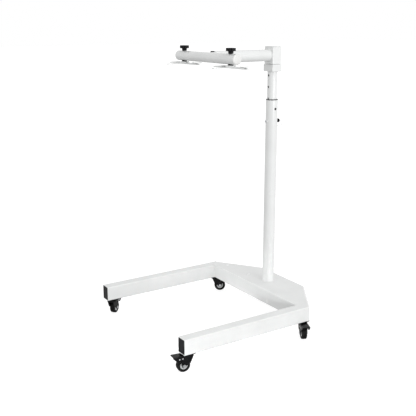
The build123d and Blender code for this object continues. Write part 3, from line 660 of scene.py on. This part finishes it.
def armLockScrew():
    node = "arm_lock_screw"
    low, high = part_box(node)
    radius = (high.x - low.x) / 2
    tall = armLooks["lockHead"]
    head = socketHead(radius, tall, armLooks["lockSocket"])
    bmesh.ops.translate(head, vec=(0, 0, high.z - tall), verts=head.verts)
    whole = merge([head, shank(armLooks["lockShank"], low.z, high.z - 0.003)])
    bmesh.ops.translate(whole, vec=(middle(node).x, middle(node).y, 0), verts=whole.verts)
    finishPiece("armLockScrew", whole, "head", [node], slotOf[node])


armLockScrew()
print("head and arm built")

# crossbar, its end caps and the saddles under it
barLooks = {
    "dome": 0.004, "plug": 0.014, "steps": 96,
    "tubeEdge": 0.0004, "saddleEdge": 0.0006, "carrierEdge": 0.0005,
}
softCopy("crossbar_tube", "crossbar", barLooks["tubeEdge"])


def endCaps():
    low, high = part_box("crossbar_end_caps")
    radius = (high.z - low.z) / 2
    centre = middle("crossbar_end_caps")
    reach, dome = (high.x - low.x) / 2, barLooks["dome"]
    bore = radius - 0.002
    halves = []
    for side in (1, -1):
        cap = bmesh.new()
        turned(cap, [
            (bore - 0.002, reach - dome - barLooks["plug"]),
            (bore, reach - dome - barLooks["plug"]), (bore, reach - dome),
            (radius, reach - dome), (radius, reach - dome * 0.78), (radius - 0.0006, reach - dome * 0.55),
            (radius - 0.0022, reach - dome * 0.22),
            (radius - 0.0048, reach - dome * 0.07), (radius * 0.45, reach - dome * 0.01),
            (0, reach), (0, reach - 0.002), (bore - 0.002, reach - dome),
        ], barLooks["steps"], closed=False)
        bmesh.ops.holes_fill(cap, edges=[edge for edge in cap.edges if edge.is_boundary], sides=0)
        place(cap, (side, 0, 0), (0, centre.y, centre.z))
        halves.append(cap)
    finishPiece("crossbarCaps", merge(halves), "crossbar", ["crossbar_end_caps"], slotOf["crossbar_end_caps"])


softCopy("carrier_saddles", "crossbar", barLooks["saddleEdge"])
for side in ("right", "left"):
    softCopy("carrier_" + side, "carrier_" + side, barLooks["carrierEdge"])

knobLooks = {
    "lobes": 6, "lobeDepth": 0.0034, "crown": 0.0012, "dish": 0.0009, "dishInset": 0.005, "steps": 96,
    "grip": 0.011, "neck": 0.009, "stud": 0.004,
}


def clampKnob(side):
    node = "clamp_knob_" + side
    low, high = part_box(node)
    centre = middle(node)
    radius = max(high.x - low.x, high.y - low.y) / 2
    top = high.z
    grip, neck = knobLooks["grip"], knobLooks["neck"]
    head = bmesh.new()
    bmesh.ops.create_circle(head, cap_ends=True, segments=knobLooks["steps"], radius=radius)
    for dot in head.verts:
        turn = Vector((1, 0)).angle_signed(Vector((dot.co.x, dot.co.y)), 0)
        hollow = max(0.0, cos(turn * knobLooks["lobes"] + pi)) ** 2.2
        squeeze = 1 - knobLooks["lobeDepth"] / radius * hollow
        dot.co.x *= squeeze
        dot.co.y *= squeeze
    rise = bmesh.ops.extrude_face_region(head, geom=list(head.faces))
    lifted = [item for item in rise["geom"] if isinstance(item, bmesh.types.BMVert)]
    bmesh.ops.translate(head, vec=(0, 0, grip), verts=lifted)
    bmesh.ops.recalc_face_normals(head, faces=head.faces)
    rims = [edge for edge in head.edges if edge.is_manifold and edge.calc_face_angle() > radians(60)]
    bmesh.ops.bevel(
        head, geom=rims, offset=knobLooks["crown"], segments=4, profile=0.5, affect="EDGES", material=-1,
    )
    head.normal_update()
    crown = max(head.faces, key=lambda face: face.normal.z * face.calc_area())
    for shrink, drop in ((1 - knobLooks["dishInset"] / radius, 0), (1 - 0.001 / radius, -knobLooks["dish"])):
        bmesh.ops.inset_individual(head, faces=[crown], thickness=0)
        bmesh.ops.scale(head, vec=(shrink, shrink, 1), verts=crown.verts)
        bmesh.ops.translate(head, vec=(0, 0, drop), verts=crown.verts)
    bmesh.ops.translate(head, vec=(centre.x, centre.y, top - grip), verts=head.verts)
    hub = bmesh.new()
    base = top - grip - neck
    turned(hub, [
        (0.0, base), (0.0085, base), (0.0095, base + 0.001),
        (0.0095, base + neck * 0.6), (0.0105, base + neck + 0.0008),
        (0.0, base + neck + 0.0008),
    ], 64, closed=False)
    bmesh.ops.translate(hub, vec=(centre.x, centre.y, 0), verts=hub.verts)
    stud = shank(knobLooks["stud"], low.z, base + 0.002)
    bmesh.ops.translate(stud, vec=(centre.x, centre.y, 0), verts=stud.verts)
    finishPiece("clampKnob_" + side, merge([head, hub, stud]), "knob_" + side, [node], slotOf[node])


endCaps()
for side in ("right", "left"):
    clampKnob(side)
print("crossbar, carriers and knobs built")

# casters
casterLooks = {
    "plate": 0.042, "tread": 0.025, "treadWidth": 0.02, "hub": 0.0145, "shoulder": 0.0032,
    "ribs": 6, "skirt": 0.0159, "rivets": ((0.026, 0, 0.0545), (0.038, 0, 0.0535)),
    "forkEdge": 0.0004, "plateEdge": 0.0004, "axle": 0.004, "axleReach": 0.0135,
    "pedalRibs": 4, "pedalRibSize": (0.0014, 0.022, 0.0012), "pedalRibStart": 0.046, "pedalRibPitch": 0.0042,
}


def casterPlaces():
    low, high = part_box("caster_plates")
    half = casterLooks["plate"] / 2
    return {
        "front_right": Vector((high.x - half, low.y + half, 0)),
        "front_left": Vector((low.x + half, low.y + half, 0)),
        "rear_right": Vector((high.x - half, high.y - half, 0)),
        "rear_left": Vector((low.x + half, high.y - half, 0)),
    }


def wheelFrame(corner, kingpin):
    # moves a shape made about the wheel's own axle (along Z) to where the wheel is
    hub = middle("caster_hub_" + corner)
    along = Vector((hub.x - kingpin.x, hub.y - kingpin.y, 0)).normalized()
    across = Vector((-along.y, along.x, 0))
    turn = Matrix((along, Vector((0, 0, 1)), across)).transposed()
    return Matrix.Translation(hub) @ turn.to_4x4()


def wheelTread(corner, where):
    radius, half, shoulder = casterLooks["tread"], casterLooks["treadWidth"] / 2, casterLooks["shoulder"]
    bore = casterLooks["hub"]
    side = [
        (bore, -half), (radius - shoulder * 1.4, -half), (radius - shoulder * 0.5, -half + shoulder * 0.2),
        (radius - shoulder * 0.12, -half + shoulder * 0.62),
        (radius - 0.0002, -half + shoulder), (radius, -0.0007),
        (radius - 0.00025, -0.0004),
    ]
    outline = side + [(spot, -height) for spot, height in reversed(side)]
    tread = bmesh.new()
    turned(tread, outline, 96)
    bmesh.ops.transform(tread, matrix=where, verts=tread.verts)
    node = "caster_tread_" + corner
    finishPiece("tread_" + corner, tread, "wheel_" + corner, [node], slotOf[node])


def wheelHub(corner, where):
    bore, half = casterLooks["hub"], casterLooks["treadWidth"] / 2
    face, web, nave = half - 0.0012, half - 0.0040, 0.0058
    side = [
        (0.0041, half + 0.0011), (nave, half + 0.0011), (nave + 0.0004, web + 0.0003), (nave + 0.0012, web),
        (bore - 0.0036, web), (bore - 0.003, face), (bore - 0.0006, face + 0.0002), (bore, face - 0.0004),
    ]
    outline = side + [(spot, -height) for spot, height in reversed(side)]
    hub = bmesh.new()
    turned(hub, outline, 96)
    shapes = [hub]
    for index in range(casterLooks["ribs"]):
        for way in (1, -1):
            rib = bmesh.new()
            bmesh.ops.create_cube(rib, size=1)
            bmesh.ops.scale(rib, vec=(bore - nave - 0.0032, 0.0013, 0.0022), verts=rib.verts)
            bmesh.ops.translate(
                rib, vec=((bore + nave - 0.0032) / 2, 0, way * (web + 0.0004)), verts=rib.verts,
            )
            soften(rib, 0.0003, 2, 50)
            turn = Matrix.Rotation(index * tau / casterLooks["ribs"], 3, "Z")
            bmesh.ops.rotate(rib, cent=(0, 0, 0), matrix=turn, verts=rib.verts)
            shapes.append(rib)
    hub = merge(shapes)
    bmesh.ops.transform(hub, matrix=where, verts=hub.verts)
    node = "caster_hub_" + corner
    finishPiece("hub_" + corner, hub, "wheel_" + corner, [node], slotOf[node])


def wheelAxle(corner, where):
    shapes = [shank(casterLooks["axle"], -casterLooks["axleReach"], casterLooks["axleReach"])]
    for way in (1, -1):
        bolt = bmesh.new()
        bmesh.ops.create_cone(
            bolt, cap_ends=True, segments=6, radius1=0.0063, radius2=0.0063, depth=0.0032,
            matrix=Matrix.Translation((0, 0, 0.0152)),
        )
        soften(bolt, 0.0004, 2, 50)
        tip = bmesh.new()
        turned(tip, [
            (0.0, 0.0165), (0.0036, 0.0165), (0.0034, 0.0169), (0.0022, 0.01698), (0.0, 0.017),
        ], 32, closed=False)
        for shape in (bolt, tip):
            bmesh.ops.scale(shape, vec=(1, 1, way), verts=shape.verts)
            bmesh.ops.recalc_face_normals(shape, faces=shape.faces)
            shapes.append(shape)
    axle = merge(shapes)
    bmesh.ops.transform(axle, matrix=where, verts=axle.verts)
    node = "caster_axle_" + corner
    finishPiece("axle_" + corner, axle, "fork_" + corner, [node], slotOf[node])


def brakePedal(corner, kingpin, where):
    node = "caster_pedal_" + corner
    pedal = fromPart(node)
    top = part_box(node)[1].z
    hub = middle("caster_hub_" + corner)
    along = Vector((hub.x - kingpin.x, hub.y - kingpin.y, 0)).normalized()
    across = Vector((-along.y, along.x, 0))
    turn = Matrix((along, across, Vector((0, 0, 1)))).transposed().to_4x4()
    shapes = [pedal]
    for index in range(casterLooks["pedalRibs"]):
        rib = bmesh.new()
        bmesh.ops.create_cube(rib, size=1)
        bmesh.ops.scale(rib, vec=casterLooks["pedalRibSize"], verts=rib.verts)
        soften(rib, 0.0004, 2, 50)
        spot = Vector((casterLooks["pedalRibStart"] + index * casterLooks["pedalRibPitch"], 0, top - 0.0002))
        bmesh.ops.transform(
            rib, matrix=Matrix.Translation(kingpin) @ turn @ Matrix.Translation(spot), verts=rib.verts,
        )
        shapes.append(rib)
    finishPiece("pedal_" + corner, merge(shapes), "pedal_" + corner, [node], slotOf[node], edge=0.0003)
    rivets = []
    for spot in casterLooks["rivets"]:
        for way in (1, -1):
            rivet = bmesh.new()
            turned(rivet, [
                (0.0, 0.0), (0.0026, 0.0), (0.0027, 0.0004),
                (0.0023, 0.0010), (0.0014, 0.0013), (0.0, 0.0014),
            ], 28, closed=False)
            bmesh.ops.translate(rivet, vec=(0, 0, casterLooks["skirt"] - 0.0004), verts=rivet.verts)
            bmesh.ops.scale(rivet, vec=(1, 1, way), verts=rivet.verts)
            bmesh.ops.recalc_face_normals(rivet, faces=rivet.faces)
            bmesh.ops.rotate(rivet, cent=(0, 0, 0), matrix=Matrix.Rotation(pi / 2, 3, "X"), verts=rivet.verts)
            bmesh.ops.transform(
                rivet, matrix=Matrix.Translation(kingpin) @ turn @ Matrix.Translation(spot), verts=rivet.verts,
            )
            rivets.append(rivet)
    finishPiece("pedalRivets_" + corner, merge(rivets), "pedal_" + corner, [], "zinc_steel")


for corner, kingpin in casterPlaces().items():
    where = wheelFrame(corner, kingpin)
    softCopy("caster_fork_" + corner, "fork_" + corner, casterLooks["forkEdge"])
    wheelTread(corner, where)
    wheelHub(corner, where)
    wheelAxle(corner, where)
    brakePedal(corner, kingpin, where)
softCopy("caster_plates", "base", casterLooks["plateEdge"])
print("casters built")

# floor, light and camera
studio = {
    "floor": (0.35, 0.35, 0.35), "floorGlow": 0.82, "skyLow": 0.5, "skyRim": 1.0, "skyHigh": 0.845,
    "keyPower": 80, "keySize": 2.6, "keySpot": (4.2, 0.3, 1.5), "keyAim": (0, -0.1, 0.6),
    "fillPower": 0.55, "fillSize": 0.4, "fillSpot": (1.3, -2.7, 0.22),
    "fillAim": (0, -0.2, -0.1), "fillSpread": 16,
}


def layFloor():
    floor = bmesh.new()
    bmesh.ops.create_grid(floor, x_segments=1, y_segments=1, size=30)
    data = bpy.data.meshes.new("studioFloor")
    floor.to_mesh(data)
    floor.free()
    sheet = bpy.data.objects.new("studioFloor", data)
    bpy.context.scene.collection.objects.link(sheet)
    finish = Finish(
        "palePaperFloor",
        {"Roughness": 0.9, "Specular IOR Level": 0.1, "Emission Strength": studio["floorGlow"]},
    )
    finish.feed("Base Color", finish.tint(finish.noise(0.6, 2.0), studio["floor"], (0.36, 0.36, 0.36)))
    finish.shader.inputs["Emission Color"].default_value = (1, 1, 1, 1)
    data.materials.append(finish.material)
    sheet.visible_diffuse = False  # the sky alone lights the stand from below
    sheet.visible_glossy = False


def lamp(name, power, size, spot, aim, spread=180):
    light = bpy.data.lights.new(name, "AREA")
    light.spread = radians(spread)
    light.energy = power
    light.size = size
    holder = bpy.data.objects.new(name, light)
    holder.location = spot
    holder.rotation_euler = (Vector(aim) - Vector(spot)).to_track_quat("-Z", "Y").to_euler()
    bpy.context.scene.collection.objects.link(holder)


def hangCamera():
    lens = bpy.data.cameras.new("studioCamera")
    lens.lens = 63.29
    lens.sensor_width = 36
    camera = bpy.data.objects.new("studioCamera", lens)
    camera.location = (2.35524, -1.83853, 1.21787)
    camera.rotation_euler = (radians(90 - 14.48), 0, radians(56.99))
    bpy.context.scene.collection.objects.link(camera)
    bpy.context.scene.camera = camera


layFloor()
lamp("keyLamp", studio["keyPower"], studio["keySize"], studio["keySpot"], studio["keyAim"])
lamp(
    "fillLamp", studio["fillPower"], studio["fillSize"],
    studio["fillSpot"], studio["fillAim"], studio["fillSpread"],
)


def hangSky():
    # dimmer below, white along the horizon, a little softer overhead
    world = bpy.data.worlds.new("studioSky")
    world.use_nodes = True
    sky = Nodes(world.node_tree)
    ray = sky.node("ShaderNodeTexCoord", {}, {}, "Generated")
    height = sky.node("ShaderNodeSeparateXYZ", {}, {"Vector": ray}, "Z")
    below = sky.node("ShaderNodeMapRange", {"interpolation_type": "SMOOTHSTEP"}, {
        "Value": height, "From Min": -0.42, "From Max": -0.02,
        "To Min": studio["skyLow"], "To Max": studio["skyRim"],
    })
    above = sky.node("ShaderNodeMapRange", {"interpolation_type": "SMOOTHSTEP"}, {
        "Value": height, "From Min": 0.04, "From Max": 0.45,
        "To Min": 0.0, "To Max": studio["skyRim"] - studio["skyHigh"],
    })
    strength = below - above
    background = world.node_tree.nodes["Background"]
    background.inputs["Color"].default_value = (1, 1, 1, 1)
    world.node_tree.links.new(strength.socket, background.inputs["Strength"])
    bpy.context.scene.world = world


hangSky()
bpy.context.scene.view_settings.view_transform = "Standard"
hangCamera()
print("floor, light and camera set")
